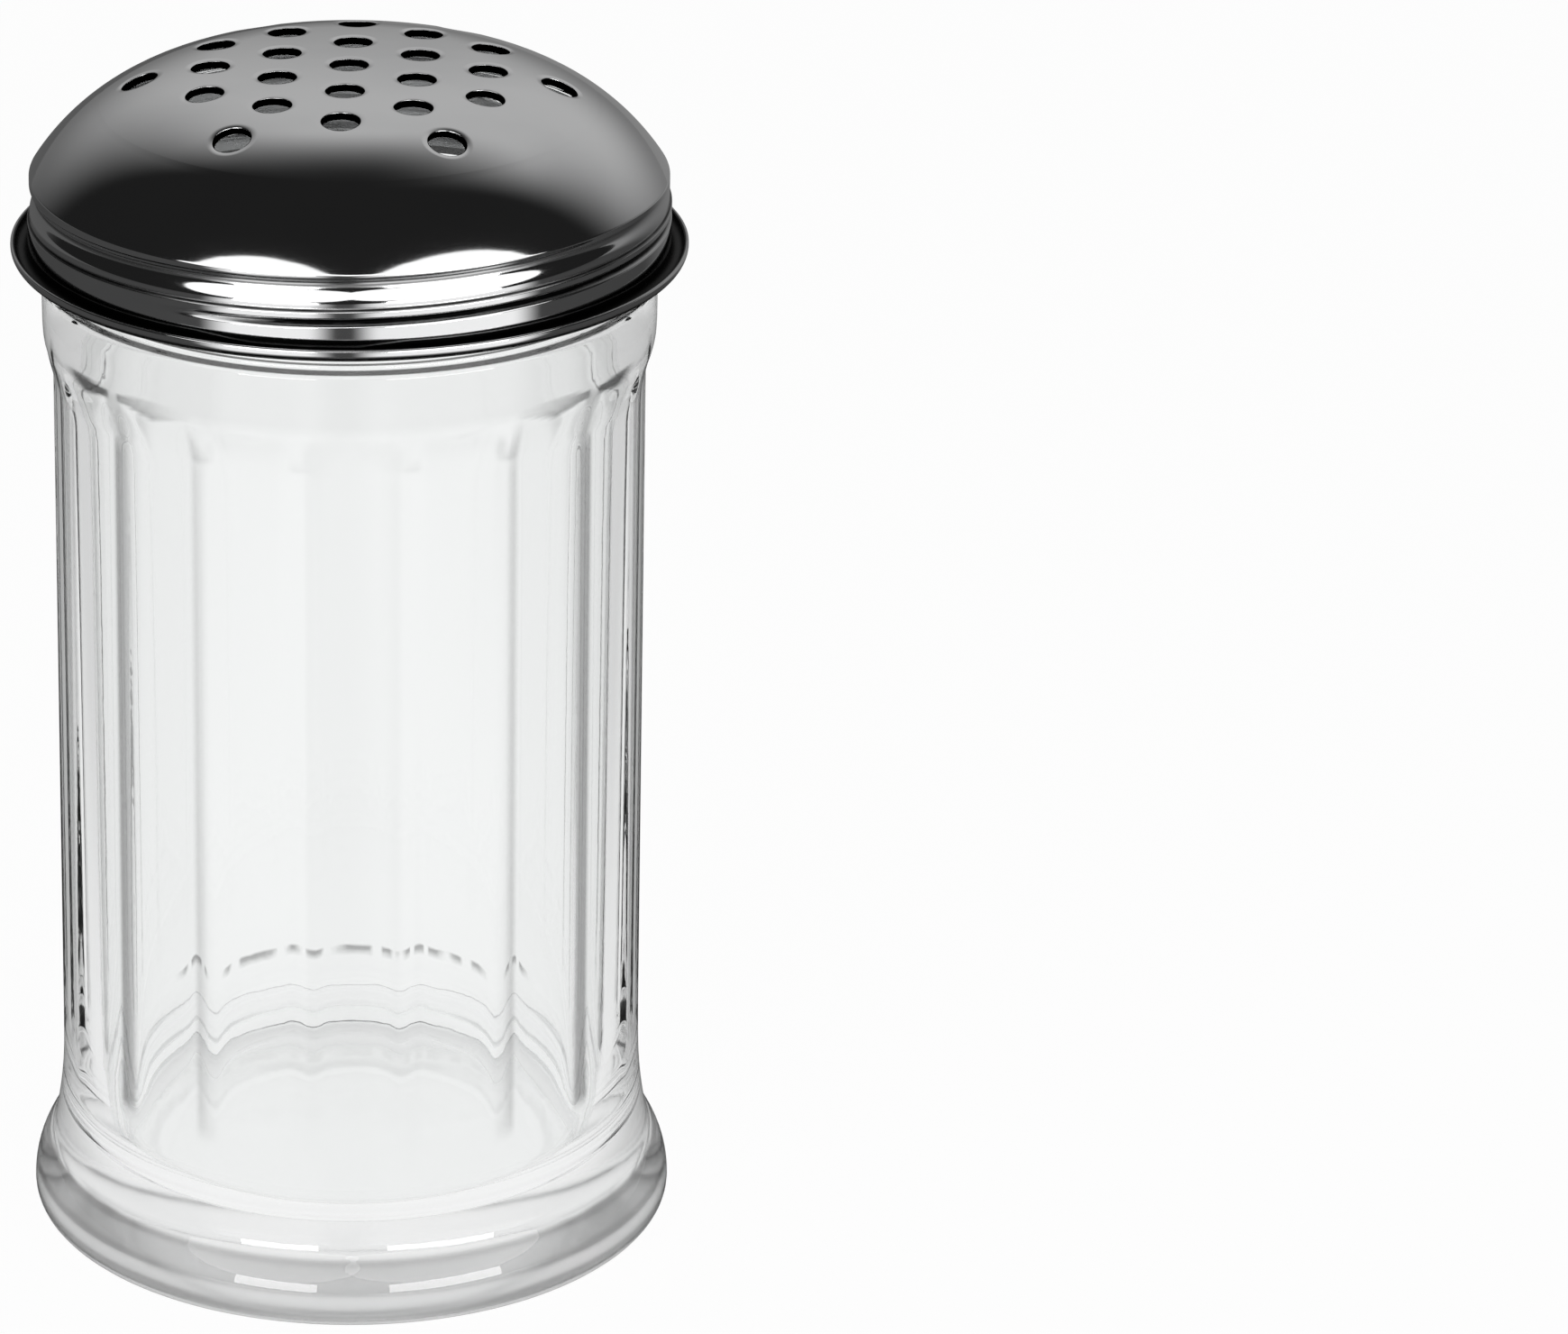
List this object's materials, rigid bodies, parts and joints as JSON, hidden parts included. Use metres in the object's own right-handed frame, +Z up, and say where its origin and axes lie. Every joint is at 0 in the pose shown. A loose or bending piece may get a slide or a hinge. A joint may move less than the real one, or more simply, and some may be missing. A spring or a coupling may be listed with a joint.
{
  "type": "parmesan shaker",
  "caption": "Fluted clear glass jar on a flared foot, under a domed stainless steel screw lid with shaker holes and a curled edge.",
  "frame": {"origin": "centre of the jar's standing ring, on the table", "axes": "+Z up along the shaker's axis, towards the perforated dome; -Y faces the viewer of the picture"},
  "size_m": [0.078, 0.078, 0.1423],
  "materials": {
    "glass": "clear pressed soda-lime glass, fire polished",
    "steel": "satin-polished pressed stainless steel sheet"
  },
  "bodies": {
    "jar": {"jar": "glass"},
    "lid": {"lid": "steel"}
  },
  "joints": [
    {"name": "lid_lift", "type": "slide", "parent": "jar", "child": "lid", "axis": [0, 0, 1], "range_m": [0, 0.06]}
  ]
}
